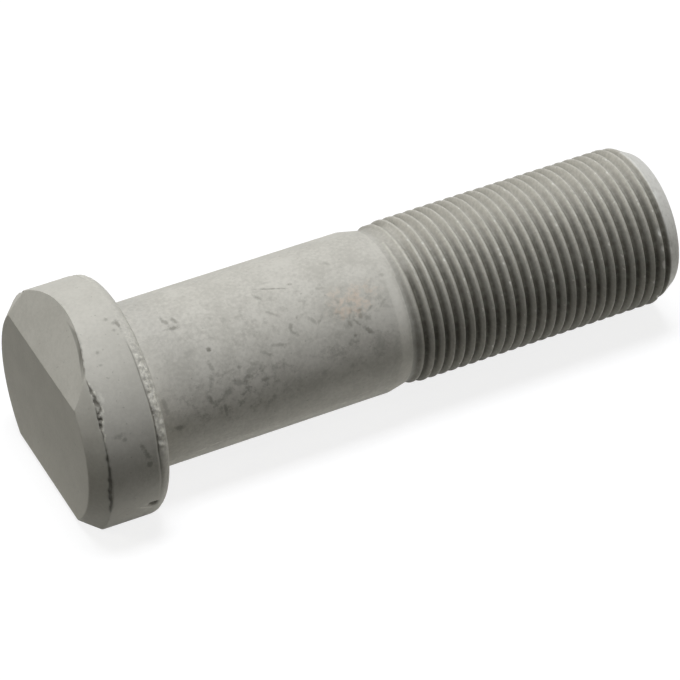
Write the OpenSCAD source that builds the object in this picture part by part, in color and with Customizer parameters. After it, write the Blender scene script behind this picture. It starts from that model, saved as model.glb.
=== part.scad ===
// Wheel bolt with a D-shaped locking head, one forged and rolled steel piece.
// The bolt's axis lies along X: head on the -X side, thread on the +X side.
// The origin is on the axis in the plane of the head's seat. The locking flat faces down.

/* [Head] */
// Diameter of the head's round side
head_d = 32; // [31:0.1:38]
// Height of the head from its end face to its seat
head_h = 10.6; // [8:0.1:16]
// Diameter of the flat end face inside the chamfer
face_d = 27.5; // [24:0.1:29]
// Height of the chamfer between end face and round side
chamfer_h = 2.15; // [1:0.05:3]
// Rounding of the worn rim beside the seat
rim_r = 1.6; // [0.8:0.1:2.2]
// Fillet between the seat and the shank
seat_fillet_r = 0.8; // [0.4:0.1:1.2]

/* [Locking flat and bevel] */
// Forging draft of the flat: it is flush with the shank at the seat and cut deeper at the end face
flat_draft = 4.3; // [1:0.1:7]
// Distance from the axis to the line where the bevel leaves the end face
bevel_start = 9; // [6:0.1:11]
// Slope of the bevel against the end face
bevel_angle = 28.5; // [15:0.5:35]

/* [Shank] */
// Diameter of the plain shank that sits in the hub's hole
shank_d = 22; // [21.9:0.1:24]
// Length of the plain shank from the seat
shank_l = 34.4; // [15:0.1:50]
// Diameter at the narrow end of the neck, before the thread
neck_d = 20.7; // [20:0.1:21.5]
// Length of the tapered neck
neck_l = 3; // [2:0.1:6]

/* [Thread] */
// Diameter over the thread's crests
thread_d = 21.9; // [21.6:0.1:21.9]
// Pitch of the thread
thread_pitch = 1.5; // [1:0.25:2.5]
// Length of the stem from the seat to the tip
stem_l = 77; // [60:0.5:120]
// Diameter of the tip's end face
tip_d = 18.95; // [17:0.05:20]
// Slope of the tip's chamfer against the axis
tip_angle = 30; // [20:1:45]

/* [Hidden] */
$fn = 128;

head_r = head_d / 2;
face_r = face_d / 2;
shank_r = shank_d / 2;
neck_r = neck_d / 2;
thread_r = thread_d / 2;
tip_r = tip_d / 2;

// Metric thread form: flanks at 30 degrees to the radius, flat crests, cut roots
flank_angle = 30;
crest_w = thread_pitch / 8;
root_r = thread_r - 0.6134 * thread_pitch;

// Places along the axis, counted from the seat
neck_end = shank_l + neck_l;
thread_start = neck_end + (thread_r - neck_r) * tan(flank_angle);
tip_start = stem_l - (thread_r - tip_r) / tan(tip_angle);
// Middle of the thread's first groove, after one crest
first_groove = thread_start + (crest_w + thread_pitch) / 2;
// Where the tip's chamfer has come down to the thread's root
root_end = stem_l - (root_r - tip_r) / tan(tip_angle);

// The cutting blocks reach this far past the head
past = 3;

// Half section of the head, as radius and place along the axis
module head_section() {
    polygon([
        [0, -head_h],
        [face_r, -head_h],
        [head_r, -head_h + chamfer_h],
        [head_r, -rim_r],
        [head_r - rim_r, -rim_r],
        [head_r - rim_r, 0],
        [0, 0]
    ]);
    translate([head_r - rim_r, -rim_r]) circle(r = rim_r);
}

// Half section of one thread groove, with its middle at place x. It reaches out past the crests.
module groove_section(x) {
    reach = 0.5;
    half_root = (thread_pitch - crest_w) / 2 - (thread_r - root_r) * tan(flank_angle);
    half_mouth = (thread_pitch - crest_w) / 2 + reach * tan(flank_angle);
    polygon([
        [root_r, x - half_root],
        [thread_r + reach, x - half_mouth],
        [thread_r + reach, x + half_mouth],
        [root_r, x + half_root]
    ]);
}

// Half section of the stem: shank, neck, thread and tip.
// The thread's grooves are rings, one pitch apart, up to where the chamfer has cut them away.
module stem_section() {
    difference() {
        polygon([
            [0, 0],
            [shank_r, 0],
            [shank_r, shank_l],
            [neck_r, neck_end],
            [thread_r, thread_start],
            [thread_r, tip_start],
            [tip_r, stem_l],
            [0, stem_l]
        ]);
        for (x = [first_groove : thread_pitch : root_end - thread_pitch / 2]) groove_section(x);
    }
}

// Half section of the fillet in the corner between seat and shank
module fillet_section() {
    difference() {
        translate([shank_r - seat_fillet_r, -seat_fillet_r]) square(2 * seat_fillet_r);
        translate([shank_r + seat_fillet_r, seat_fillet_r]) circle(r = seat_fillet_r);
    }
}

// The turned form, before the flat and the bevel are cut
module blank() {
    rotate([0, 90, 0]) rotate_extrude() {
        head_section();
        stem_section();
        fillet_section();
    }
}

// Block below the locking flat, tilted by the draft about the flat's edge at the seat
module below_flat() {
    translate([0, 0, -shank_r]) rotate([0, flat_draft, 0])
        translate([-head_h - past, -head_r, -head_r]) cube([head_h + 2 * past, head_d, head_r]);
}

// Block in front of the bevel, tilted about the line where the bevel leaves the end face
module before_bevel() {
    translate([-head_h, 0, bevel_start]) rotate([0, bevel_angle, 0])
        translate([-head_h, -head_r, 0]) cube([head_h, head_d, head_r]);
}

module wheel_bolt() {
    color([0.64, 0.64, 0.62]) difference() {
        blank();
        below_flat();
        before_bevel();
    }
}

wheel_bolt();
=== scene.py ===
# %% [markdown]
# # A wheel bolt with a D-shaped head
#
# This lesson dresses one forged steel bolt: the kind that is pressed through a
# truck hub from behind and takes a wheel nut on its outer end. It is one piece
# of steel, so there is one mesh, one material and no joint.
#
# Distances along the bolt are counted from the seat, the ring under the head
# that bears on the hub. +X runs toward the thread's tip. A place round the
# bolt is an angle: 0 degrees is the top, and it grows toward -Y, the side that
# the camera sees. The bolt's sizes are in millimetres, and its finished mesh is
# scaled to metres once. Floor, lamps and camera are placed in metres.

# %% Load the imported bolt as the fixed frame
import math
import random

import bmesh
import bpy
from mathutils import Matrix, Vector, noise


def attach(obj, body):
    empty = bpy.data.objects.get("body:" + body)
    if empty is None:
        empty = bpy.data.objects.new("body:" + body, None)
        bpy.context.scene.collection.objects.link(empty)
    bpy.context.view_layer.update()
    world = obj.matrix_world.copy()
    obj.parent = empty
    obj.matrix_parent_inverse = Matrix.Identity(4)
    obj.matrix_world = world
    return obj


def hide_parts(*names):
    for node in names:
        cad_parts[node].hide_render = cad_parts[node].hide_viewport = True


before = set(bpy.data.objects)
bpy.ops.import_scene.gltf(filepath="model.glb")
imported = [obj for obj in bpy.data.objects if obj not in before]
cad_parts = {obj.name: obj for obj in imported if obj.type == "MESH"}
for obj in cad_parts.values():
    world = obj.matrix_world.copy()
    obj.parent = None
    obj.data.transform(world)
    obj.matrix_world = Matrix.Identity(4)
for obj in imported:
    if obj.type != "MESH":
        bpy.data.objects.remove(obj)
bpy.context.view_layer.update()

MM = 0.001

# %% [markdown]
# ## The sizes
#
# The solid in model.glb has the same head, shank, neck and tip. The numbers
# are repeated here because this script reads nothing but the frame. The skin is
# a hair smaller than the solid, so that no bump of the worn surface can leave
# the solid's box.

# %% Sizes of the bolt
skin_gap = 0.015
end_gap = 0.005
head_r = 16.0 - skin_gap
head_h = 10.6 - end_gap
face_r = 13.75
chamfer_h = 2.15
rim_r = 1.6
seat_fillet_r = 0.8
shank_r = 11.0 - skin_gap
shank_l = 34.4
neck_r = 10.35
neck_end = 37.4
crest_r = 10.95 - skin_gap
root_r = 10.02
pitch = 1.5
stem_l = 77.0 - end_gap
tip_r = 9.475
tip_slope = math.radians(30)
flat_draft = math.radians(4.3)
flat_at_seat = -11.0
bevel_start = 9.0
bevel_slope = math.radians(28.5)
print("bolt length", head_h + stem_l, "mm, thread M22 x", pitch)

# %% [markdown]
# ## Rough surfaces from a steady noise
#
# A forged and tumbled part is never smooth. Blender's `mathutils.noise` gives a
# value between about -1 and 1 for any point in space, always the same one, so
# the wear is the same at every run. Sampling it at the point's own place in
# space keeps it free of a seam where the angle jumps from 180 to -180 degrees.

# %% Helpers: points and noise on a turned surface
def spot(x, r, turn):
    """The point at distance x, radius r and angle turn (degrees), in mm."""
    a = math.radians(turn)
    return Vector((x, -r * math.sin(a), r * math.cos(a)))


def rough(x, turn, size, layer=0.0, r=16.0):
    """Noise from -1 to 1 whose bumps are about size mm across. Each layer differs."""
    p = spot(x, r, turn) / size
    return noise.noise(p + Vector((layer * 17.3, layer * 5.1, layer * 9.7)))


def rise(low, high, value):
    """0 below low, 1 above high, smooth in between."""
    t = min(1.0, max(0.0, (value - low) / (high - low)))
    return t * t * (3 - 2 * t)


def hill(centre, half_width, value):
    """1 at centre, falling smoothly to 0 at half_width on both sides."""
    return 1.0 - rise(0.0, 1.0, abs(value - centre) / half_width)


print("noise at the top of the seat:", round(rough(0, 0, 3.0), 4))

# %% [markdown]
# ## The head's turned blank
#
# Everything round on the head is one profile spun about the axis: end face,
# chamfer, round side, rounded rim, seat and the fillet to the shank. The
# columns of points lie close together where the real head is worn: at the edge
# between chamfer and side, and on the rim beside the seat.

# %% Profile of the head
def chamfer_point(t):
    """t runs from 0 at the end face to 1 at the round side."""
    return (-head_h + chamfer_h * t, face_r + (head_r - face_r) * t)


head_profile = [(-head_h, face_r - 0.16)]
head_profile += [(-head_h + 0.02, face_r - 0.04), (-head_h + 0.07, face_r + 0.05)]
chamfer_steps = (0.09, 0.2, 0.32, 0.44, 0.56, 0.64, 0.7, 0.76, 0.81, 0.86, 0.91, 0.95)
head_profile += [chamfer_point(t) for t in chamfer_steps]
edge_x = -head_h + chamfer_h
head_profile += [(edge_x - 0.03, head_r - 0.05), (edge_x + 0.06, head_r - 0.01)]
past_edge = (0.16, 0.27, 0.38, 0.5, 0.63, 0.78, 0.95, 1.2)
head_profile += [(edge_x + step, head_r) for step in past_edge]
side_columns = (-6.7, -5.8, -4.9, -4.0, -3.3, -2.8, -2.45, -2.2, -2.05, -1.92, -1.8, -1.7)
head_profile += [(x, head_r) for x in side_columns]
rim_centre_r = head_r - rim_r
rim_steps = 16
for step in range(rim_steps + 1):
    bend = math.radians(step * 90 / rim_steps)
    head_profile.append((-rim_r + rim_r * math.sin(bend), rim_centre_r + rim_r * math.cos(bend)))
head_profile += [(0.0, r) for r in (13.6, 12.7)]
fillet_steps = 4
for step in range(fillet_steps + 1):
    bend = math.radians(step * 90 / fillet_steps)
    x = seat_fillet_r * (1 - math.cos(bend))
    head_profile.append((x, shank_r + seat_fillet_r * (1 - math.sin(bend))))
print(len(head_profile), "columns in the head's profile")

# %% [markdown]
# ## Damage on the head
#
# Some places on the real head are rough, and each becomes a small change of
# the radius before the flat and the bevel are cut:
#
# - the rim beside the seat carries a crust of forging burr, set off from the
#   side by a thin groove;
# - the edge between chamfer and side is folded over: a crevice runs along it,
#   widest and most crumbled at 40 to 64 degrees, with a torn lip;
# - the crease where the bevel meets the side is nicked;
# - the lowest part of the rim has a small gouge.
#
# Each function returns a depth in mm, or a share from 0 to 1, and changes
# nothing. So the same functions can later say where the colour is dark or pale.

# %% The groove and the crust on the rim
groove_x = -1.72


def groove_depth(x, turn):
    wander = 0.10 * rough(0, turn, 4.0, 1) + 0.04 * rough(0, turn, 1.1, 2)
    strength = 0.75 + 0.6 * rough(0, turn, 3.0, 3)
    strength *= 0.05 + 0.95 * hill(62, 58, abs(turn))
    return 0.17 * max(0.0, strength) * hill(groove_x + wander, 0.26, x)


def crust_share(x, turn):
    """1 in the middle of the crusty band, 0 away from it."""
    near = rise(groove_x + 0.02, groove_x + 0.25, x)
    far = 1.0 - rise(-0.55 + 0.2 * rough(0, turn, 1.6, 4), -0.15, x)
    along = 0.12 + 0.88 * hill(52, 50, abs(turn))
    return near * far * along


def crust_depth(x, turn):
    coarse = rough(x, turn, 0.9, 5)
    fine = rough(x, turn, 0.38, 6)
    return crust_share(x, turn) * max(0.0, 0.12 + 0.22 * coarse + 0.16 * fine)


print("groove at 60 degrees:", round(groove_depth(groove_x, 60), 3), "mm deep")

# %% The crevice at the chamfer's edge
def crevice_line(turn):
    """Where the crevice runs, as x in mm."""
    return edge_x - 0.02 + 0.10 * rough(0, turn, 3.2, 7) + 0.05 * rough(0, turn, 0.8, 8)


def thin_line(x, turn):
    """The narrow dark line, which runs on below the crumbled stretch."""
    a = abs(turn)
    half_width = 0.19 + 0.15 * rise(68, 86, a)
    along = rise(34, 40, a) * (1 - rise(103, 112, a))
    strength = 0.75 + 0.45 * rough(0, turn, 1.8, 9) + 0.35 * hill(92, 24, a)
    return hill(crevice_line(turn), half_width, x) * along * strength


def torn_width(turn):
    """Width of the crumbled stretch, in mm."""
    return 0.68 * hill(51, 14, abs(turn)) + 0.22 * max(0.0, rough(0, turn, 1.5, 10))


def crevice_share(x, turn):
    a = abs(turn)
    near = crevice_line(turn)
    far = near + torn_width(turn)
    torn = rise(near - 0.12, near + 0.05, x) * (1 - rise(far - 0.05, far + 0.08, x))
    torn *= rise(37, 42, a) * (1 - rise(62, 68, a))
    return min(1.0, max(0.0, thin_line(x, turn), torn))


def crevice_depth(x, turn):
    crumbs = 0.55 + 1.1 * rough(x, turn, 0.7, 11) + 0.5 * rough(x, turn, 0.3, 15)
    return 0.28 * crevice_share(x, turn) * min(1.0, max(0.1, crumbs))


def lip_share(x, turn):
    """The pale torn lip just outside the crumbled stretch."""
    a = abs(turn)
    lip_x = crevice_line(turn) + torn_width(turn) + 0.12
    return hill(lip_x, 0.16, x) * rise(36, 42, a) * (1 - rise(63, 69, a))


print("crevice at 88 degrees:", round(crevice_depth(crevice_line(88), 88), 3), "mm deep")

# %% Worn crease between the bevel and the side
def bevel_x(turn):
    """Where the bevel comes out on the round side."""
    z = head_r * math.cos(math.radians(turn))
    return -head_h + (z - bevel_start) * math.tan(bevel_slope)


def crease_depth(x, turn):
    """Nicks along the crease, on the -Y side only."""
    nicks = max(0.0, 0.5 + 0.8 * rough(0, turn, 1.4, 16) + 0.5 * rough(x, turn, 0.5, 17))
    along = rise(8, 14, turn) * (1 - rise(34, 38, turn))
    return 0.12 * nicks * along * (1 - rise(0.02, 0.26, x - bevel_x(turn)))


print("the bevel comes out at", round(bevel_x(25), 2), "mm at 25 degrees")

# %% The gouge and the whole change of radius on the head
gouge_x = -2.3
gouge_turn = 113.5
wear_from = -head_h + 0.08


def gouge_depth(x, turn):
    """An oval hole that lies aslant; 1 mm and 5 degrees are its unit lengths."""
    along = (x - gouge_x) / 1.0
    around = (turn - gouge_turn) / 5.0
    cut = math.hypot(along * 0.9 + around * 0.5, around * 1.5 - along * 0.6)
    return 0.3 * (1.0 - rise(0.2, 1.0, cut + 0.25 * rough(x, turn, 0.7, 12)))


def head_wear(x, r, turn):
    """How far the worn head lies inside its plain profile, in mm."""
    if x <= wear_from:
        return 0.0
    depth = 0.02 + 0.02 * rough(x, turn, 4.5, 13) + 0.008 * rough(x, turn, 1.2, 14)
    depth += groove_depth(x, turn) + crevice_depth(x, turn) + gouge_depth(x, turn)
    depth += crease_depth(x, turn)
    if r > rim_centre_r + 0.1:
        depth += crust_depth(x, turn)
    fade = rise(shank_r + 0.9, rim_centre_r + 0.2, r)
    return max(0.0, depth) * fade


print("wear on the side:", round(head_wear(-5, head_r, 60), 4), "mm")

# %% [markdown]
# ## Spinning the head
#
# A mesh that is spun by hand in `bmesh` keeps every column and every line of
# points where we want it. 480 lines round the head put them 0.2 mm apart, fine
# enough for the crumbled edge. Each point also carries a few numbers, such as
# how much painted shade it gets, which the material reads later.

# %% An empty mesh with its layers
head_lines = 480
bolt = bmesh.new()
groove_layer = bolt.verts.layers.float.new("thread_depth")
crevice_shade_layer = bolt.verts.layers.float.new("crevice")
pale_layer = bolt.verts.layers.float.new("pale_edge")
chip_layer = bolt.verts.layers.float.new("chip")
tip_layer = bolt.verts.layers.float.new("tip_band")


def signed(turn):
    """The same angle, from -180 to 180."""
    return (turn + 180) % 360 - 180


def new_point(x, r, turn):
    return bolt.verts.new(spot(x, r, turn))


def join_rings(a, b):
    """Quads between two rings that have as many points."""
    n = len(a)
    for i in range(n):
        j = (i + 1) % n
        bolt.faces.new((a[i], a[j], b[j], b[i]))


print("layers on the points:", bolt.verts.layers.float.keys())

# %% Spin the head
def damage_shade(x, turn):
    """Painted shade in the damage, from 0 to 1: it grows with the depth of the groove, crevice,
    nicks and gouge.
    """
    depth_shade = max(groove_depth(x, turn) / 0.15, crevice_depth(x, turn) / 0.2)
    depth_shade = max(depth_shade, thin_line(x, turn), crease_depth(x, turn) / 0.15)
    return min(1.0, depth_shade + gouge_depth(x, turn) / 0.3)


def pale_on_head(x, r, turn):
    """How pale the torn lip and the crust are, from 0 to 1; on the crust this is partly a painted
    highlight, where the rim catches the light.
    """
    pale_and_highlight = crust_share(x, turn) if r > rim_centre_r - 0.1 else 0.0
    return max(min(1.0, 1.5 * lip_share(x, turn)), pale_and_highlight)


def head_ring(x, r):
    ring = []
    for i in range(head_lines):
        turn = signed(i * 360 / head_lines)
        point = new_point(x, r - head_wear(x, r, turn), turn)
        if x > wear_from and r > 13.0:
            point[crevice_shade_layer] = damage_shade(x, turn)
            point[pale_layer] = pale_on_head(x, r, turn)
        ring.append(point)
    return ring


first = last = head_ring(*head_profile[0])
for x, r in head_profile[1:]:
    ring = head_ring(x, r)
    join_rings(last, ring)
    last = ring
bolt.faces.new(first[::-1])
head_end = last
bmesh.ops.recalc_face_normals(bolt, faces=bolt.faces[:])
print("head so far:", len(bolt.faces), "faces")

# %% [markdown]
# ## Cutting the flat and the bevel
#
# The two flat places are cut with planes, as a tool would: the locking flat
# leans by its forging draft so that it meets the shank at the seat, and the
# bevel leaves the end face along a straight line. `bisect_plane` cuts and
# throws away what is outside; the open loop that stays gets one flat face.
# Narrow cuts at half the angle then take the razor's edge off the straight
# edges, as the coating and the tumbling do on the real bolt.

# %% A plane cut that closes itself
def cut_away(place, outward):
    """Cut the head with a plane and close the cut with one face."""
    geometry = bolt.verts[:] + bolt.edges[:] + bolt.faces[:]
    cut = bmesh.ops.bisect_plane(
        bolt,
        geom=geometry,
        dist=1e-5,
        plane_co=place,
        plane_no=outward.normalized(),
        clear_outer=True,
    )
    edges = [g for g in cut["geom_cut"] if isinstance(g, bmesh.types.BMEdge)]
    rim_edges = [e for e in edges if len(e.link_faces) == 1]
    made = bmesh.ops.edgeloop_fill(bolt, edges=rim_edges)
    return made["faces"]


def break_edge(place, out_a, out_b, depth):
    """Take depth mm off the edge at place, at half the angle between two faces."""
    middle = (out_a + out_b).normalized()
    return cut_away(place - middle * depth, middle)


flat_out = Vector((-math.sin(flat_draft), 0, -math.cos(flat_draft)))
bevel_out = Vector((-math.cos(bevel_slope), 0, math.sin(bevel_slope)))
face_out = Vector((-1, 0, 0))
print("the flat leans", round(math.degrees(flat_draft), 1), "degrees")

# %% Cut the head
bevel_place = Vector((-head_h, 0, bevel_start))
made = cut_away(Vector((0, 0, flat_at_seat)), flat_out)
made += cut_away(bevel_place, bevel_out)
made += break_edge(bevel_place, bevel_out, face_out, 0.015)
flat_front_z = flat_at_seat + head_h * math.tan(flat_draft)
made += break_edge(Vector((-head_h, 0, flat_front_z)), flat_out, face_out, 0.048)
mid_head = 5.0
for side in (-1, 1):
    z = flat_at_seat + mid_head * math.tan(flat_draft)
    y = math.sqrt(head_r**2 - z * z) * side
    side_out = Vector((0, y, z)).normalized()
    made += break_edge(Vector((-mid_head, y, z)), flat_out, side_out, 0.054)
bmesh.ops.remove_doubles(bolt, verts=bolt.verts[:], dist=0.004)
print("cut faces:", len(made), "head faces:", len(bolt.faces))

# %% [markdown]
# ## The thread as a height
#
# The thread is a groove of 60 degrees that climbs 1.5 mm in each turn. A screw
# modifier could wind one profile along the bolt, but it can't let the groove
# grow and run out, or chip a crest. So the thread is a height: for any place on
# the stem we count the turns, and the count is a whole number on a crest and a
# half in a groove. A profile then gives the radius.
#
# Both ends need care. At the neck the rolling dies did not fill the form, so
# the first grooves grow from nothing, the first crest is thin, and the next few
# crests keep the seam that rolling leaves. At the tip the last groove runs out
# within half a turn, before the chamfer cuts it open.

# %% Plain radius of the neck, the thread and the tip
first_crest = 37.735
first_turn = 46.7
crest_flat = 0.10
flank = math.tan(math.radians(30))
blank_r = 10.36
neck_corner = 0.35


def turns_at(x, turn):
    """The count of turns: whole on a crest, a half in a groove."""
    return (x - first_crest) / pitch - (turn - first_turn) / 360


def neck_radius(x):
    if x < shank_l - neck_corner:
        return shank_r
    if x > neck_end:
        return blank_r
    cone = shank_r - (shank_r - neck_r) * (x - shank_l) / (neck_end - shank_l)
    past_corner = rise(shank_l - neck_corner, shank_l + 0.5, x)
    return min(shank_r, cone) - 0.02 * math.sin(math.pi / 2 * past_corner)


def full_thread(away):
    """Radius of the finished thread, away mm from the crest's middle."""
    drop = max(0.0, (away - crest_flat) / flank)
    rounding = 0.035 * rise(0.0, crest_flat + 0.08, away)
    return max(root_r, crest_r - drop - rounding)


def tip_cone(x):
    return tip_r + (stem_l - x) * math.tan(tip_slope)


print("neck radius at 36 mm:", round(neck_radius(36), 3))

# %% Height of the thread with its two ends
run_out_from = 25.0
run_out_to = 25.45


def formed(x, turn):
    """How far the rolling has formed the thread here, from 0 to 1."""
    from_latest = min(1.0, abs(signed(turn) + 10) / 60)
    start = 39.0 + math.cos(math.pi * from_latest)
    return rise(start - 0.6, start + 0.7, x)


def thread_point(x, turn):
    """Radius, and depth as 0 on the crest to 1 in the root."""
    count = turns_at(x, turn)
    crest = round(count)
    away = abs(count - crest) * pitch
    radius = full_thread(away)
    base = neck_radius(x)
    if radius < base:
        groove_place = x - (count - math.floor(count) - 0.5) * pitch
        share = formed(groove_place, turn)
    else:
        crest_place = x - (count - crest) * pitch
        share = max(formed(crest_place, turn), 0.62 * rise(-110, -20, 360 * crest + turn))
    if crest < 0:
        share = 0.0
    radius = base + (radius - base) * share
    seam = hill(0, 0.1, away) * (1 - rise(2.0, 5.0, count)) * rise(-0.5, 0.3, count)
    radius -= 0.05 * seam
    radius += 0.012 * rough(x, turn, 1.3, 21, 11.0) - 0.012
    groove_run = math.floor(count) + 0.5 + turn / 360
    radius += (crest_r - radius) * rise(run_out_from, run_out_to, groove_run)
    depth = min(1.0, max(0.0, (crest_r - radius) / (crest_r - root_r)))
    if radius > tip_cone(x):
        return tip_cone(x), 0.0
    return radius, depth


def on_cone(x, turn):
    """1 where the tip's chamfer has cut the thread away."""
    return float(thread_point(x, turn)[0] > tip_cone(x) - 0.02)


mid_thread = first_crest + 10 * pitch
print("crest radius at mid thread:", round(thread_point(mid_thread, first_turn)[0], 3))

# %% [markdown]
# ## Chips on the crests
#
# Bolts are shipped loose in boxes, and the crests get small chips where they
# hit each other. A few dozen are drawn from a seeded random list. The ones that
# someone would recognise, on the last turns and along the middle, are listed,
# with the crest's number, the angle, the depth in mm and the half width in
# degrees.

# %% Place the chips
draw = random.Random(22)
chips = []
for _ in range(90):
    crest = draw.randint(1, 24)
    turn = draw.uniform(-180, 180)
    chips.append((crest, turn, draw.uniform(0.05, 0.13), draw.uniform(1.2, 3.0)))
chips += [
    (24, 58, 0.22, 5.0),
    (24, 70, 0.16, 4.0),
    (24, 83, 0.2, 5.5),
    (25, 30, 0.18, 4.0),
    (25, 72, 0.2, 6.0),
    (23, 96, 0.12, 3.0),
    (24, 118, 0.2, 4.0),
    (25, 112, 0.2, 5.0),
    (19, 55, 0.14, 2.0),
    (16, 80, 0.12, 2.0),
    (16, -3, 0.12, 2.5),
    (15, 22, 0.14, 2.2),
    (15, 31, 0.12, 2.2),
    (9, 34, 0.12, 1.6),
    (9, 38, 0.10, 1.4),
    (9, 45, 0.14, 2.0),
    (9, 59, 0.12, 2.0),
    (16, 63, 0.14, 2.4),
    (17, 63, 0.12, 2.0),
    (5, 47, 0.12, 2.0),
    (4, 18, 0.10, 1.8),
    (7, 108, 0.14, 2.4),
    (1, 113, 0.10, 2.2),
    (22, -11, 0.14, 2.4),
]
chip_reach = 0.3


def chip_at(x, turn):
    """Depth of a chip here, in mm."""
    count = turns_at(x, turn)
    crest = round(count)
    away = abs(count - crest) * pitch
    if away > chip_reach:
        return 0.0
    depth = 0.0
    for c, t, d, half in chips:
        if c == crest:
            depth = max(depth, d * hill(t, half, signed(turn)) * hill(0, chip_reach, away))
    return depth


print(len(chips), "chips on the crests")

# %% [markdown]
# ## Shank, neck and a mesh that follows the thread
#
# The plain shank is a row of rings. For the thread, rings would cut across the
# crests and leave them jagged. So the columns there climb with the helix: each
# column's x grows by one pitch in a turn, and the last line of points joins the
# first one a whole pitch further on. Where a column would leave the thread at
# either end it is stopped at the end ring, so the mesh stays closed.

# %% Spin the shank
stem_lines = 240


def stem_ring(x, r, ripple=0.006):
    """A ring of the stem, with a slight ripple in its surface."""
    ring = []
    for i in range(stem_lines):
        turn = signed(i * 360 / stem_lines)
        low = ripple * (1 + rough(x, turn, 5.0, 31, 11.0)) if ripple else 0.0
        ring.append(new_point(x, r - low, turn))
    return ring


shank_columns = [1.0, 1.4, 2.0, 2.8] + [4.0 + 1.45 * k for k in range(21)] + [33.6, 34.0, 34.25]
last = stem_ring(shank_columns[0], shank_r, 0)
for i in range(stem_lines):
    j = (i + 1) % stem_lines
    a, b, c = head_end[2 * i], head_end[2 * i + 1], head_end[(2 * i + 2) % head_lines]
    bolt.faces.new((a, b, c, last[j], last[i]))
for x in shank_columns[1:]:
    ring = stem_ring(x, shank_r)
    join_rings(last, ring)
    last = ring
thread_from = 36.5
for x in (34.45, 34.7, 35.0, 35.4, 35.8, 36.2, thread_from):
    ring = stem_ring(x, neck_radius(x))
    join_rings(last, ring)
    last = ring
start_ring = last
print("stem begins with", len(shank_columns), "rings")

# %% Columns that climb with the thread
thread_to = 76.3
column_offsets = (-0.62, -0.36, -0.19, -0.085, 0.0, 0.085, 0.19, 0.36, 0.62, 0.75)
per_turn = len(column_offsets)
columns = []
for k in range(-2, 27):
    for offset in column_offsets:
        columns.append(first_crest + k * pitch + offset)
columns.sort()
end_ring = []
for i in range(stem_lines):
    turn = signed(i * 360 / stem_lines)
    point = new_point(thread_to, thread_point(thread_to, turn)[0], turn)
    point[tip_layer] = on_cone(thread_to, turn)
    end_ring.append(point)


def grid_point(column, line):
    """The thread's point on a column and a line, stopped at the two end rings."""
    turn = line * 360 / stem_lines
    x = columns[column] + pitch * (turn - first_turn) / 360
    if x <= thread_from + 0.02:
        return start_ring[line]
    if x >= thread_to - 0.02:
        return end_ring[line]
    radius, depth = thread_point(x, turn)
    chip = chip_at(x, turn)
    point = new_point(x, radius - chip, turn)
    point[groove_layer] = depth
    point[chip_layer] = min(1.0, chip / 0.12)
    point[tip_layer] = on_cone(x, turn)
    return point


grid = [[grid_point(column, line) for column in range(len(columns))] for line in range(stem_lines)]
print("thread grid:", stem_lines, "by", len(columns))

# %% Faces of the thread
def add_face(corners):
    """A face from the corners that differ; fewer than three make none."""
    kept = []
    for corner in corners:
        if corner not in kept:
            kept.append(corner)
    if len(kept) > 2:
        bolt.faces.new(kept)


def next_line(column, line):
    """The grid's point on the next line, which after a whole turn is a pitch further on."""
    if line + 1 < stem_lines:
        return grid[line + 1][column]
    further = column + per_turn
    return grid[0][further] if further < len(columns) else end_ring[0]


for line in range(stem_lines):
    for column in range(len(columns) - 1):
        a, b = grid[line][column], grid[line][column + 1]
        add_face((a, b, next_line(column + 1, line), next_line(column, line)))
print("faces with the thread:", len(bolt.faces))

# %% [markdown]
# ## The tip
#
# The tip is a chamfer of 30 degrees that ends in a small rounding and a flat
# face. A few more rings close it: each has its distance back from the end, and
# its radius where it doesn't lie on the chamfer.

# %% Close the tip
last = end_ring
for back, r in [(0.4, None), (0.14, None), (0.05, 9.49), (0.01, 9.42), (0.0, 9.3), (0.02, 8.2)]:
    x = stem_l - back
    ring = stem_ring(x, r if r else tip_cone(x), 0)
    for point in ring:
        point[tip_layer] = 1.0
    join_rings(last, ring)
    last = ring
bolt.faces.new(last)
bmesh.ops.recalc_face_normals(bolt, faces=bolt.faces[:])
open_edges = [e for e in bolt.edges if len(e.link_faces) != 2]
print("faces:", len(bolt.faces), "edges not shared by two faces:", len(open_edges))

# %% [markdown]
# ## From bmesh to an object
#
# The points are scaled to metres here, once. Shading is smooth, except across
# the head's edges that are sharper than its wear: those are marked, and a
# weighted normal modifier keeps the large flat faces flat next to their narrow
# edges. On the stem every edge is smooth, because the thread's mesh is fine
# enough to carry its own flanks.

# %% Make the object
bmesh.ops.scale(bolt, vec=Vector((MM, MM, MM)), verts=bolt.verts[:])
for face in bolt.faces:
    face.smooth = True
sharp_from = math.radians(38)
for edge in bolt.edges:
    x = (edge.verts[0].co.x + edge.verts[1].co.x) / 2 / MM
    edge.smooth = x > 1.2 or edge.calc_face_angle(0) < sharp_from
bolt_mesh = bpy.data.meshes.new("wheel_bolt_skin")
bolt.to_mesh(bolt_mesh)
triangles = sum(len(f.verts) - 2 for f in bolt.faces)
bolt.free()
bolt_piece = bpy.data.objects.new("wheel_bolt_skin", bolt_mesh)
bpy.context.scene.collection.objects.link(bolt_piece)
flatten = bolt_piece.modifiers.new("keep_flats_flat", "WEIGHTED_NORMAL")
flatten.keep_sharp = True
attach(bolt_piece, "root")
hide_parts("wheel_bolt")
print("triangles:", triangles)

# %% [markdown]
# ## Short words for shader nodes
#
# A material made of nodes reads better when each step is one short call. These
# helpers add a node, set or link its inputs, and hand back its output.

# %% Node helpers: numbers
def put(tree, socket, value):
    """Link a socket, or set a plain value."""
    if isinstance(value, bpy.types.NodeSocket):
        tree.links.new(value, socket)
    else:
        socket.default_value = value


def maths(tree, operation, *values):
    node = tree.nodes.new("ShaderNodeMath")
    node.operation = operation
    for socket, value in zip(node.inputs, values):
        put(tree, socket, value)
    return node.outputs[0]


def times(tree, *values):
    """The product of two or more values."""
    total = values[0]
    for value in values[1:]:
        total = maths(tree, "MULTIPLY", total, value)
    return total


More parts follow.
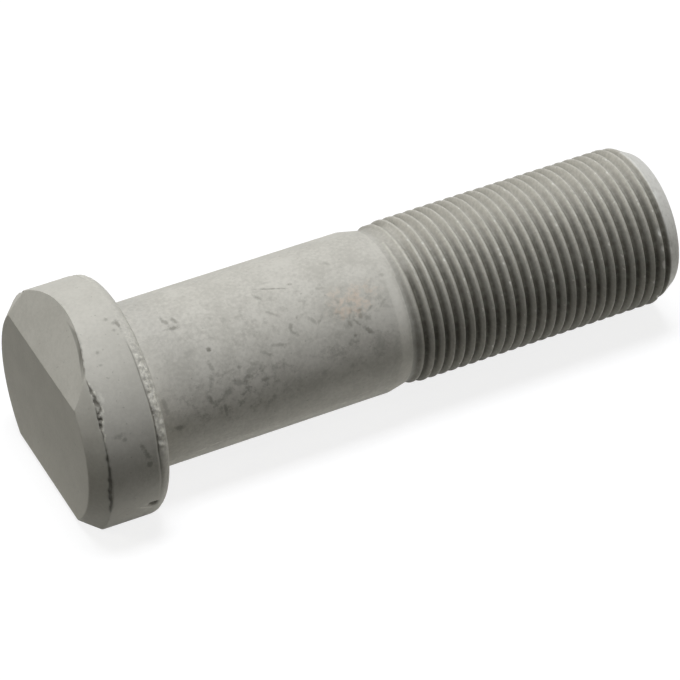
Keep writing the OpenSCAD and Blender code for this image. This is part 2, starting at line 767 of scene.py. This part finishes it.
def strongest(tree, *values):
    """The largest of two or more values."""
    total = values[0]
    for value in values[1:]:
        total = maths(tree, "MAXIMUM", total, value)
    return total


def ramp(tree, value, low, high, to_low=0.0, to_high=1.0):
    """Smooth step of a value, from to_low at low to to_high at high."""
    node = tree.nodes.new("ShaderNodeMapRange")
    node.interpolation_type = "SMOOTHSTEP"
    limits = {"From Min": low, "From Max": high, "To Min": to_low, "To Max": to_high}
    for name, number in limits.items():
        node.inputs[name].default_value = number
    put(tree, node.inputs["Value"], value)
    return node.outputs["Result"]


print("number helpers ready")

# %% Node helpers: places, patterns and colours
def vectors(tree, operation, *values):
    node = tree.nodes.new("ShaderNodeVectorMath")
    node.operation = operation
    for socket, value in zip(node.inputs, values):
        put(tree, socket, value)
    return node.outputs["Value" if operation == "LENGTH" else "Vector"]


def speckle(tree, place, scale, detail=2.0, roughness=0.5):
    """Noise with scale bumps to the mm."""
    node = tree.nodes.new("ShaderNodeTexNoise")
    put(tree, node.inputs["Vector"], place)
    node.inputs["Scale"].default_value = scale
    node.inputs["Detail"].default_value = detail
    node.inputs["Roughness"].default_value = roughness
    return node.outputs["Fac"]


def stir(tree, share, a, b):
    """Colour a where share is 0, colour b where it is 1."""
    node = tree.nodes.new("ShaderNodeMix")
    node.data_type = "RGBA"
    put(tree, node.inputs[0], share)
    put(tree, node.inputs[6], a)
    put(tree, node.inputs[7], b)
    return node.outputs[2]


def painted(tree, name):
    """A value that was written on the mesh's points."""
    node = tree.nodes.new("ShaderNodeAttribute")
    node.attribute_name = name
    return node.outputs["Fac"]


print("place and colour helpers ready")

# %% [markdown]
# ## Places for listed marks
#
# Smudges, nicks and scratches that someone would recognise are put one by one.
# A painted image could hold them too, but nodes need no file and stay sharp
# close up. A small node group draws one mark: an oval at a place on the bolt,
# turned by an angle, with a ragged edge. The place is a flat chart of the
# surface: x along the bolt and the distance round it.

# %% One mark as a node group
mark_group = bpy.data.node_groups.new("one_mark", "ShaderNodeTree")
for name, kind in (
    ("Place", "NodeSocketVector"),
    ("Centre", "NodeSocketVector"),
    ("Half size", "NodeSocketVector"),
    ("Tilt", "NodeSocketFloat"),
    ("Ragged", "NodeSocketFloat"),
    ("Strength", "NodeSocketFloat"),
):
    mark_group.interface.new_socket(name, in_out="INPUT", socket_type=kind)
mark_group.interface.new_socket("Mark", in_out="OUTPUT", socket_type="NodeSocketFloat")
enter = mark_group.nodes.new("NodeGroupInput")
leave = mark_group.nodes.new("NodeGroupOutput")
shifted = vectors(mark_group, "SUBTRACT", enter.outputs["Place"], enter.outputs["Centre"])
turned = mark_group.nodes.new("ShaderNodeVectorRotate")
turned.rotation_type = "Z_AXIS"
mark_group.links.new(shifted, turned.inputs["Vector"])
mark_group.links.new(enter.outputs["Tilt"], turned.inputs["Angle"])
shrunk = vectors(mark_group, "DIVIDE", turned.outputs["Vector"], enter.outputs["Half size"])
distance = vectors(mark_group, "LENGTH", shrunk)
ragged_distance = maths(mark_group, "ADD", distance, enter.outputs["Ragged"])
inside = ramp(mark_group, ragged_distance, 0.2, 1.3, 1.0, 0.0)
mark_group.links.new(times(mark_group, inside, enter.outputs["Strength"]), leave.inputs[0])
print("nodes in one mark:", len(mark_group.nodes))

# %% A list of marks
def marks(tree, place, ragged, mm_per_degree, rows):
    """The strongest of a list of marks: (x, degrees, length, width, tilt, strength)."""
    found = []
    for x, turn, length, width, tilt, strength in rows:
        node = tree.nodes.new("ShaderNodeGroup")
        node.node_tree = mark_group
        put(tree, node.inputs["Place"], place)
        node.inputs["Centre"].default_value = (x, turn * mm_per_degree, 0)
        node.inputs["Half size"].default_value = (length / 2, width / 2, 1)
        node.inputs["Tilt"].default_value = math.radians(tilt)
        put(tree, node.inputs["Ragged"], ragged)
        node.inputs["Strength"].default_value = strength
        found.append(node.outputs[0])
    return strongest(tree, *found)


print("marks ready")

# %% [markdown]
# ## The coating
#
# The steel has a matt grey coat of zinc and aluminium flakes. It is thin: at
# crests and edges it is rubbed brighter, in grooves it is darker with dirt and
# painted shade, and the shank carries dark rub marks from handling. The flakes
# are so fine and so matt that the coat looks like a paint. So it is a Principled
# shader without metal, with a weak, broad gloss, and its life comes from layers
# of colour.
#
# Places come from the object's own coordinates in mm, and from them the angle
# round the bolt and the distance from the axis.

# %% Coordinates of the coat
coat = bpy.data.materials.new("flake_coated_steel")
coat.use_nodes = True
tree = coat.node_tree
tree.nodes.clear()
surface = tree.nodes.new("ShaderNodeBsdfPrincipled")
output = tree.nodes.new("ShaderNodeOutputMaterial")
tree.links.new(surface.outputs["BSDF"], output.inputs["Surface"])
coordinates = tree.nodes.new("ShaderNodeTexCoord")
place = vectors(tree, "MULTIPLY", coordinates.outputs["Object"], (1000.0, 1000.0, 1000.0))
parts = tree.nodes.new("ShaderNodeSeparateXYZ")
tree.links.new(place, parts.inputs[0])
along = parts.outputs["X"]
minus_y = times(tree, parts.outputs["Y"], -1.0)
angle = maths(tree, "ARCTAN2", minus_y, parts.outputs["Z"])
angle_deg = times(tree, angle, 180 / math.pi)
y_squared = maths(tree, "POWER", parts.outputs["Y"], 2.0)
z_squared = maths(tree, "POWER", parts.outputs["Z"], 2.0)
radius_here = maths(tree, "SQRT", maths(tree, "ADD", y_squared, z_squared))
print("coordinates ready")

# %% Charts and zones
def chart(mm_per_degree):
    """x and the distance round the bolt as one vector."""
    node = tree.nodes.new("ShaderNodeCombineXYZ")
    tree.links.new(along, node.inputs[0])
    put(tree, node.inputs[1], times(tree, angle_deg, mm_per_degree))
    return node.outputs[0]


shank_scale = math.pi * 11 / 180
head_scale = math.pi * 16 / 180
shank_chart = chart(shank_scale)
head_chart = chart(head_scale)
on_head = ramp(tree, along, 0.1, -0.1)
on_shank = times(tree, ramp(tree, along, -0.1, 0.1), ramp(tree, along, 35.4, 35.0))
on_neck = times(tree, ramp(tree, along, 34.6, 35.0), ramp(tree, along, 36.6, 36.0))
on_thread = ramp(tree, along, 37.2, 37.8)
print("zones: head, shank, neck, thread")

# %% [markdown]
# ### Base colour
#
# The coat is mottled: soft clouds some 5 mm wide and a grain of half a
# millimetre shift it between two greys. The head is a shade duller than the
# shank. The thread is painted darker toward its sides, away from the overhead
# lamp: painted shade. A little dark grain lies on its crests.

# %% Base colour with mottling
coat_grey = (0.60, 0.582, 0.52, 1)
coat_dull = (0.49, 0.475, 0.42, 1)
head_grey = (0.55, 0.535, 0.475, 1)
thread_top = (0.57, 0.55, 0.485, 1)
thread_side_shade = (0.40, 0.388, 0.338, 1)
thread_dusty = (0.15, 0.145, 0.12, 1)
cloudy = speckle(tree, place, 0.2, 3.0, 0.55)
grain = speckle(tree, place, 2.0, 3.0, 0.6)
mottle = maths(tree, "ADD", times(tree, cloudy, 0.5), times(tree, grain, 0.5))
colour = stir(tree, ramp(tree, mottle, 0.35, 0.65), coat_dull, coat_grey)
colour = stir(tree, times(tree, on_head, 0.45), colour, head_grey)
# Painted shade: the thread darkens from its top toward its sides, away from the overhead lamp.
side_shade = ramp(tree, maths(tree, "ABSOLUTE", angle_deg), 15.0, 75.0)
thread_shaded_grey = stir(tree, side_shade, thread_top, thread_side_shade)
colour = stir(tree, times(tree, on_thread, 0.8), colour, thread_shaded_grey)
thread_grain = times(tree, ramp(tree, grain, 0.36, 0.62, 0.16, 0.0), on_thread)
colour = stir(tree, thread_grain, colour, thread_dusty)
print("base colour ready")

# %% [markdown]
# ### Rub marks, smudges, scratches and painted light
#
# The shank has dozens of short dark strokes where other steel has rubbed it,
# with cloudy smudges between them. Along its underside lie fine pale scratches,
# and a long pale band there is painted light, thrown back by the floor. The
# neck's cone is painted paler where it catches the light: a painted highlight.
# Each mark is a row in a list: x, degrees, length, width, tilt and strength. A
# ragged noise eats into their edges, so that no oval shows.

# %% Dark strokes on the shank
torn_noise = speckle(tree, place, 1.3, 5.0, 0.75)
ragged = times(tree, maths(tree, "SUBTRACT", torn_noise, 0.5), 3.4)
strokes = [
    (5.6, 9.6, 2.5, 0.63, -69, 0.45),
    (6.15, 16.9, 2.2, 0.7, -3, 0.54),
    (6.9, 12.9, 2, 0.63, -75, 0.41),
    (9.4, 39, 0.8, 0.7, 0, 0.7),
    (8.9, 49, 0.7, 1.3, 20, 0.4),
    (18.2, 14.1, 1.6, 0.63, -57, 0.36),
    (19.1, 29.5, 2.2, 0.42, -38, 0.27),
    (20.2, 4.3, 1.5, 0.42, -10, 0.18),
    (20.5, 11, 4, 0.24, -20, 0.5),
    (22.9, 11.7, 0.7, 0.5, 0, 0.5),
    (26.4, 22.4, 1.6, 0.42, -15, 0.23),
    (28.9, 4.7, 1.2, 0.56, -50, 0.27),
    (34.9, 26.3, 0.9, 0.5, 0, 0.3),
    (20.65, 41.3, 1.5, 0.56, 64, 0.41),
    (20.9, 46.3, 1.5, 0.56, -37, 0.41),
    (23.7, 41.5, 1.7, 0.49, -58, 0.32),
    (24.7, 43.1, 1.3, 0.49, 38, 0.32),
    (18.5, 50.2, 2.2, 0.49, -13, 0.36),
    (16.5, 53, 1.9, 0.56, -39, 0.36),
    (14.6, 57.2, 1.9, 0.56, -27, 0.32),
    (12.5, 55.9, 0.7, 0.6, 0, 0.4),
    (27.3, 42, 1.2, 0.63, -10, 0.32),
    (28.3, 50.3, 0.8, 1.8, 10, 0.4),
    (28.7, 60.3, 0.7, 0.6, 0, 0.5),
    (30.2, 44.6, 0.9, 0.7, 0, 0.6),
    (30.05, 48.6, 0.7, 0.9, 0, 0.45),
    (30.6, 59.4, 1.8, 0.7, -48, 0.5),
    (33.5, 44.9, 2.6, 0.49, 40, 0.27),
    (33.9, 48, 1.6, 0.56, -30, 0.23),
    (7.9, 72, 1.9, 0.7, -60, 0.5),
    (9.7, 82, 0.5, 2.4, 5, 0.5),
    (10.2, 70, 2.2, 1.1, 20, 0.4),
    (12, 66, 2.4, 1, -20, 0.35),
    (14, 60, 2, 0.8, 10, 0.3),
    (26, 69, 3, 0.9, 0, 0.3),
    (31.8, 70, 2.4, 3.4, 0, 0.3),
    (3.2, 84, 1.6, 1.2, 0, 0.45),
    (28.6, 47, 2.2, 0.4, 62, 0.35),
    (29.4, 52, 1.4, 0.45, -50, 0.4),
    (30.9, 51, 0.9, 1.1, 0, 0.35),
    (31.6, 46, 1.3, 0.45, 35, 0.35),
    (29.0, 43, 0.6, 0.6, 0, 0.4),
    (27.6, 46, 1.1, 0.4, -30, 0.3),
    (1.8, 66, 0.8, 2.6, 10, 0.3),
]
shank_strokes = times(tree, marks(tree, shank_chart, ragged, shank_scale, strokes), on_shank)
print("strokes on the shank:", len(strokes))

# %% Dark spots on the head
spots = [
    (-3.4, 78.0, 0.7, 3.6, 20, 0.45),
    (-3.2, 84.0, 1.0, 1.4, 0, 0.45),
    (-6.4, 66.0, 1.4, 0.8, 0, 0.35),
    (-5.9, 68.0, 0.6, 0.6, 0, 0.4),
    (-2.9, 12.5, 0.8, 0.7, 0, 0.35),
    (-2.2, 15.5, 0.7, 0.6, 0, 0.35),
    (-2.6, 19.0, 0.7, 0.6, 0, 0.35),
    (-1.8, 17.0, 0.6, 1.6, 0, 0.5),
    (-5.8, 27.0, 0.5, 0.5, 0, 0.4),
    (-6.0, 33.0, 0.6, 0.4, 0, 0.35),
    (-2.4, 113.0, 1.2, 0.8, 30, 0.8),
]
head_spots = times(tree, marks(tree, head_chart, ragged, head_scale, spots), on_head)
print("spots on the head:", len(spots))

# %% Pale scratches, painted light on the underside and a painted highlight on the neck
scratches_and_underside_light = [
    (8.6, 113.0, 2.4, 0.30, 8, 0.8),
    (10.4, 111.5, 1.6, 0.22, -6, 0.6),
    (12.6, 116.0, 2.0, 0.25, 10, 0.6),
    (15.2, 118.5, 2.2, 0.22, 4, 0.6),
    (17.5, 119.0, 1.4, 0.45, -5, 0.8),
    (20.5, 115.0, 3.0, 0.20, 6, 0.5),
    (24.8, 117.0, 2.2, 0.24, -4, 0.55),
    (29.5, 112.0, 1.6, 0.22, 12, 0.5),
    # Painted light: this long, wide row is no scratch; it lightens the shank's bottom edge, where
    # the floor throws light back.
    (18.0, 122.0, 40.0, 3.4, 0, 0.36),
    (6.6, 116.0, 1.8, 0.5, 20, 0.7),
    (13.8, 119.0, 1.5, 0.4, -12, 0.7),
    (19.4, 120.0, 2.4, 0.35, 8, 0.7),
    (22.8, 119.5, 1.2, 0.4, 0, 0.7),
    (27.0, 118.0, 2.0, 0.35, -8, 0.7),
]
head_scratches = [(-3.7, 114.5, 2.4, 0.3, -35, 0.7), (-7.4, 47.0, 0.5, 2.0, 10, 0.5)]
# Painted highlight: the neck's cone is painted paler where it catches the light.
neck_highlight_rows = [(35.5, 60.0, 3.0, 17.0, 0, 0.4)]
shank_pale_and_light = times(tree, marks(tree, shank_chart, ragged, shank_scale, scratches_and_underside_light), on_shank)
head_pale = times(tree, marks(tree, head_chart, ragged, head_scale, head_scratches), on_head)
neck_highlight = times(tree, marks(tree, shank_chart, 0.0, shank_scale, neck_highlight_rows), on_neck)
pale_marks_and_light = strongest(tree, shank_pale_and_light, head_pale, neck_highlight)
print("pale scratches:", len(scratches_and_underside_light) + len(head_scratches))

# %% Smudges, specks and the colours of all marks
rub_dark = (0.12, 0.115, 0.09, 1)
scratch_and_light_pale = (0.80, 0.78, 0.70, 1)
smudge_regions = [
    (12.0, 72.0, 22.0, 10.0, 0, 1.0),
    (28.0, 70.0, 16.0, 7.0, 0, 0.7),
    (30.0, 42.0, 12.0, 7.0, 0, 0.6),
    (18.0, 30.0, 42.0, 12.0, 0, 0.42),
]
blotch = ramp(tree, speckle(tree, place, 0.75, 5.0, 0.72), 0.48, 0.66)
smudge_area = marks(tree, shank_chart, 0.0, shank_scale, smudge_regions)
smudges = times(tree, blotch, smudge_area, on_shank, 0.5)
specks = ramp(tree, speckle(tree, place, 1.9, 2.0, 0.5), 0.68, 0.78)
dark_marks = strongest(tree, shank_strokes, head_spots, smudges, times(tree, specks, 0.3))
colour = stir(tree, dark_marks, colour, rub_dark)
# Pale scratches, with painted light on the underside and a painted highlight on the neck.
colour = stir(tree, pale_marks_and_light, colour, scratch_and_light_pale)
print("smudges:", len(smudge_regions))

# %% [markdown]
# ### Rust tint, dirt and painted shade in the damage, and bare metal
#
# A faint tint of rust lies on the shank near the neck. The thread's grooves
# are darkened by dirt and by painted shade, which grows with the angle from
# the overhead lamp, and the last groove beside the tip most of all. The points
# of the mesh know how deep they lie, so the darkening follows the real form.
# The crevice gets painted shade by its depth the same way, and the same holds
# for the pale crust, partly a painted highlight, the chips and the chamfer of
# the tip.

# %% Rust tint
rust_tint = (0.70, 0.57, 0.45, 1)
rust_spots = [
    (29.6, 38.0, 7.0, 3.6, 15, 1.0),
    (31.0, 45.0, 3.0, 1.6, 0, 0.8),
    (28.0, 31.0, 4.0, 2.4, 0, 0.6),
]
rust_region = marks(tree, shank_chart, ragged, shank_scale, rust_spots)
rust_patches = ramp(tree, speckle(tree, place, 1.0, 4.0, 0.6), 0.38, 0.6)
colour = stir(tree, times(tree, rust_region, rust_patches, 0.55), colour, rust_tint)
print("rust spots:", len(rust_spots))

# %% Dirt and painted shade in the grooves, painted shade in the crevice
groove_black = (0.088, 0.083, 0.065, 1)
crevice_dark = (0.14, 0.133, 0.11, 1)
depth = painted(tree, "thread_depth")
# Painted shade: the grooves darken with the angle from 10 degrees toward +Y, below the overhead
# lamp; the depth picks the grooves, where dirt sits too.
from_top = maths(tree, "ABSOLUTE", maths(tree, "ADD", angle_deg, 10.0))
dirt_and_shade_grows = ramp(tree, from_top, 0.0, 60.0, 0.3, 0.92)
last_groove = times(tree, ramp(tree, along, 74.6, 75.2), ramp(tree, angle_deg, 0.0, 14.0))
dirt_and_shade_grows = strongest(tree, dirt_and_shade_grows, times(tree, last_groove, 0.95))
lumps = ramp(tree, speckle(tree, place, 1.1, 4.0, 0.6), 0.34, 0.6, 0.84, 1.0)
groove_dirt_and_shade = times(tree, ramp(tree, depth, 0.24, 0.9), dirt_and_shade_grows, lumps)
colour = stir(tree, groove_dirt_and_shade, colour, groove_black)
# Painted shade: the head's crevice, rim groove, nicks and gouge are darkened by their depth.
crevice = times(tree, painted(tree, "crevice"), ramp(tree, radius_here, 15.0, 15.4))
colour = stir(tree, times(tree, ramp(tree, crevice, 0.15, 0.8), 0.8), colour, crevice_dark)
print("dirt ready")

# %% Pale crust with a painted highlight, bright specks, chips and the tip
crust_pale_and_highlight = (0.80, 0.78, 0.68, 1)
speck_bright = (0.78, 0.77, 0.70, 1)
chip_bright = (0.76, 0.75, 0.69, 1)
tip_pale = (0.70, 0.69, 0.64, 1)
flecks = ramp(tree, speckle(tree, place, 2.4, 3.0, 0.6), 0.42, 0.62)
# Partly painted highlight: the crust is painted pale where the rim catches the light; the torn lip
# is paler too.
pale_and_highlight = times(tree, painted(tree, "pale_edge"), flecks, 0.9)
colour = stir(tree, pale_and_highlight, colour, crust_pale_and_highlight)
dots = ramp(tree, speckle(tree, place, 1.7, 2.0, 0.5), 0.66, 0.72)
bright_specks = times(tree, dots, on_thread, ramp(tree, depth, 0.35, 0.1), 0.6)
colour = stir(tree, bright_specks, colour, speck_bright)
chip_share = times(tree, ramp(tree, painted(tree, "chip"), 0.2, 0.8), 0.65)
colour = stir(tree, chip_share, colour, chip_bright)
tip_share = times(tree, painted(tree, "tip_band"), ramp(tree, grain, 0.25, 0.6, 0.65, 1.0))
colour = stir(tree, tip_share, colour, tip_pale)
tree.links.new(colour, surface.inputs["Base Color"])
print("colour done")

# %% [markdown]
# ### Gloss and fine bumps
#
# Under a finger the coat feels like fine sandpaper. How strongly it shines is
# the same all over, so that number is set on the shader's own socket. How broad
# the shine is changes a little with the grain, and rub marks are duller. Two
# noises make the bump: pits of a third of a millimetre, and waves of one and a
# half millimetres that the eye reads as a forged skin.

# %% Gloss and fine bumps
surface.inputs["Metallic"].default_value = 0.0
surface.inputs["Specular IOR Level"].default_value = 0.09
gloss = ramp(tree, grain, 0.3, 0.7, 0.5, 0.62)
dull_marks = times(tree, dark_marks, 0.15)
tree.links.new(maths(tree, "ADD", gloss, dull_marks), surface.inputs["Roughness"])
pits = speckle(tree, place, 3.2, 4.0, 0.62)
waves = speckle(tree, place, 0.7, 3.0, 0.5)
height = maths(tree, "ADD", times(tree, pits, 0.5), waves)
height = maths(tree, "SUBTRACT", height, times(tree, dark_marks, 0.25))
bump = tree.nodes.new("ShaderNodeBump")
bump.inputs["Strength"].default_value = 0.4
bump.inputs["Distance"].default_value = 0.06 * MM
tree.links.new(height, bump.inputs["Height"])
tree.links.new(bump.outputs["Normal"], surface.inputs["Normal"])
bolt_mesh.materials.append(coat)
print("nodes in the coat:", len(tree.nodes))

# %% [markdown]
# ## Floor
#
# The bolt lies as it comes to rest, on its shank and its locking flat. The
# real one's underside is lit as if it lay on a small pale sheet on a darker
# table. So that is the colour the floor has for the light that bounces off it:
# pale close to the bolt and dark beyond.
#
# The camera, and any gloss, sees a white floor instead. A dim white surface
# keeps the bolt's soft shadow, and a glow lifts it to white. The glow grows
# with the distance, so that the floor stays white as far as its edge.

# %% Floor sheet and the light it throws back
floor_z = -11.04 * MM
half = 3.0
corners = [(-half, -half), (half, -half), (half, half), (-half, half)]
floor_mesh = bpy.data.meshes.new("floor_sheet")
floor_mesh.from_pydata([(x, y, floor_z) for x, y in corners], [], [(0, 1, 2, 3)])
floor = bpy.data.objects.new("floor_sheet", floor_mesh)
bpy.context.scene.collection.objects.link(floor)
paper = bpy.data.materials.new("white_sheet")
paper.use_nodes = True
paper_tree = paper.node_tree
paper_tree.nodes.clear()
plain = paper_tree.nodes.new("ShaderNodeBsdfDiffuse")
on_floor = paper_tree.nodes.new("ShaderNodeTexCoord").outputs["Object"]
sheet_centre = (0.045, 0.0, floor_z)
sheet_half = (0.07, 0.031, 1.0)
sheet_pale = (0.82, 0.81, 0.78, 1)
table_dark = (0.08, 0.08, 0.075, 1)
from_centre = vectors(paper_tree, "SUBTRACT", on_floor, sheet_centre)
shares = vectors(paper_tree, "ABSOLUTE", vectors(paper_tree, "DIVIDE", from_centre, sheet_half))
sides = paper_tree.nodes.new("ShaderNodeSeparateXYZ")
paper_tree.links.new(shares, sides.inputs[0])
farther = strongest(paper_tree, sides.outputs["X"], sides.outputs["Y"])
beyond = ramp(paper_tree, farther, 0.62, 1.0)
sheet_colour = stir(paper_tree, beyond, sheet_pale, table_dark)
paper_tree.links.new(sheet_colour, plain.inputs["Color"])
print("floor at z", floor_z / MM, "mm")

# %% The white floor that the camera sees
shadow_grey = (0.24, 0.24, 0.24, 1)
glow_close = 0.83
glow_far = 1.0
soft = paper_tree.nodes.new("ShaderNodeBsdfDiffuse")
soft.inputs["Color"].default_value = shadow_grey
glow = paper_tree.nodes.new("ShaderNodeEmission")
far_out = vectors(paper_tree, "LENGTH", on_floor)
glow_strength = ramp(paper_tree, far_out, 0.15, 1.1, glow_close, glow_far)
paper_tree.links.new(glow_strength, glow.inputs["Strength"])
seen = paper_tree.nodes.new("ShaderNodeAddShader")
paper_tree.links.new(soft.outputs[0], seen.inputs[0])
paper_tree.links.new(glow.outputs[0], seen.inputs[1])


def seen_rays(tree):
    """1 for a ray that shows the background: to the camera, off gloss or through glass."""
    ray = tree.nodes.new("ShaderNodeLightPath")
    names = ("Is Camera Ray", "Is Glossy Ray", "Is Transmission Ray")
    return strongest(tree, *[ray.outputs[name] for name in names])


def choose(tree, lighting, shown, result):
    """Light the scene with one shader, and show the other."""
    pick = tree.nodes.new("ShaderNodeMixShader")
    tree.links.new(seen_rays(tree), pick.inputs[0])
    tree.links.new(lighting.outputs[0], pick.inputs[1])
    tree.links.new(shown.outputs[0], pick.inputs[2])
    tree.links.new(pick.outputs[0], result.inputs["Surface"])


choose(paper_tree, plain, seen, paper_tree.nodes.new("ShaderNodeOutputMaterial"))
floor_mesh.materials.append(paper)
print("nodes in the floor:", len(paper_tree.nodes))

# %% [markdown]
# ## Lamps and world
#
# One broad softbox hangs overhead and makes the long, soft light along the top
# of the shank. Three weaker ones lift the front, the end face and the tip. The
# world is nearly dark as a light, and white where it is seen. So the backdrop
# is white, and the bolt gets hardly any light but the lamps'.

# %% Lamps
middle = Vector((0.033, 0, 0))


def softbox(name, place, size, watts, colour):
    """A rectangular lamp that faces the bolt's middle."""
    data = bpy.data.lights.new(name, "AREA")
    data.shape = "RECTANGLE"
    data.size, data.size_y = size
    data.energy = watts
    data.color = colour
    lamp = bpy.data.objects.new(name, data)
    lamp.location = place
    aim = middle - Vector(place)
    lamp.rotation_euler = aim.to_track_quat("-Z", "Y").to_euler()
    bpy.context.scene.collection.objects.link(lamp)


softbox("overhead_box", (0.04, 0.1, 0.9), (0.5, 0.3), 7.8, (0.94, 0.955, 1.0))
softbox("front_top_box", (0.03, -0.45, 0.78), (0.3, 0.3), 0.12, (1.0, 0.97, 0.92))
softbox("left_box", (-0.62, 0.26, 0.45), (0.3, 0.3), 1.35, (1.0, 0.98, 0.90))
softbox("right_box", (0.85, -0.3, 0.18), (0.25, 0.25), 1.0, (1.0, 0.98, 0.93))

# %% World
world = bpy.data.worlds.new("studio")
world.use_nodes = True
bpy.context.scene.world = world
world_tree = world.node_tree
world_tree.nodes.clear()
dim = world_tree.nodes.new("ShaderNodeBackground")
dim.inputs["Color"].default_value = (0.9, 0.92, 0.85, 1)
dim.inputs["Strength"].default_value = 0.01
white = world_tree.nodes.new("ShaderNodeBackground")
white.inputs["Color"].default_value = (1, 1, 1, 1)
choose(world_tree, dim, white, world_tree.nodes.new("ShaderNodeOutputWorld"))
print("nodes in the world:", len(world_tree.nodes))

# %% [markdown]
# ## Camera
#
# The camera's place, turn and long lens were found by matching the bolt's
# outline, its straight edges and the crests of its thread. A long lens from
# nearly half a metre away keeps the far end almost as large as the near one.

# %% Camera
lens_data = bpy.data.cameras.new("photo_camera")
lens_data.lens = 193.57
lens_data.sensor_width = 36.0
lens_data.clip_start = 0.01
lens_data.clip_end = 20.0
camera = bpy.data.objects.new("photo_camera", lens_data)
camera.location = (-0.133515, -0.325908, 0.305710)
camera.rotation_euler = [math.radians(v) for v in (49.7495, 0.0957, -26.9069)]
bpy.context.scene.collection.objects.link(camera)
bpy.context.scene.camera = camera
bpy.context.scene.view_settings.view_transform = "Standard"
print("camera is", round(camera.location.length, 3), "m from the seat")

# %% [markdown]
# ## Bringing the scene up to date
#
# The view layer is updated once more.

# %% Update the view layer
bpy.context.view_layer.update()
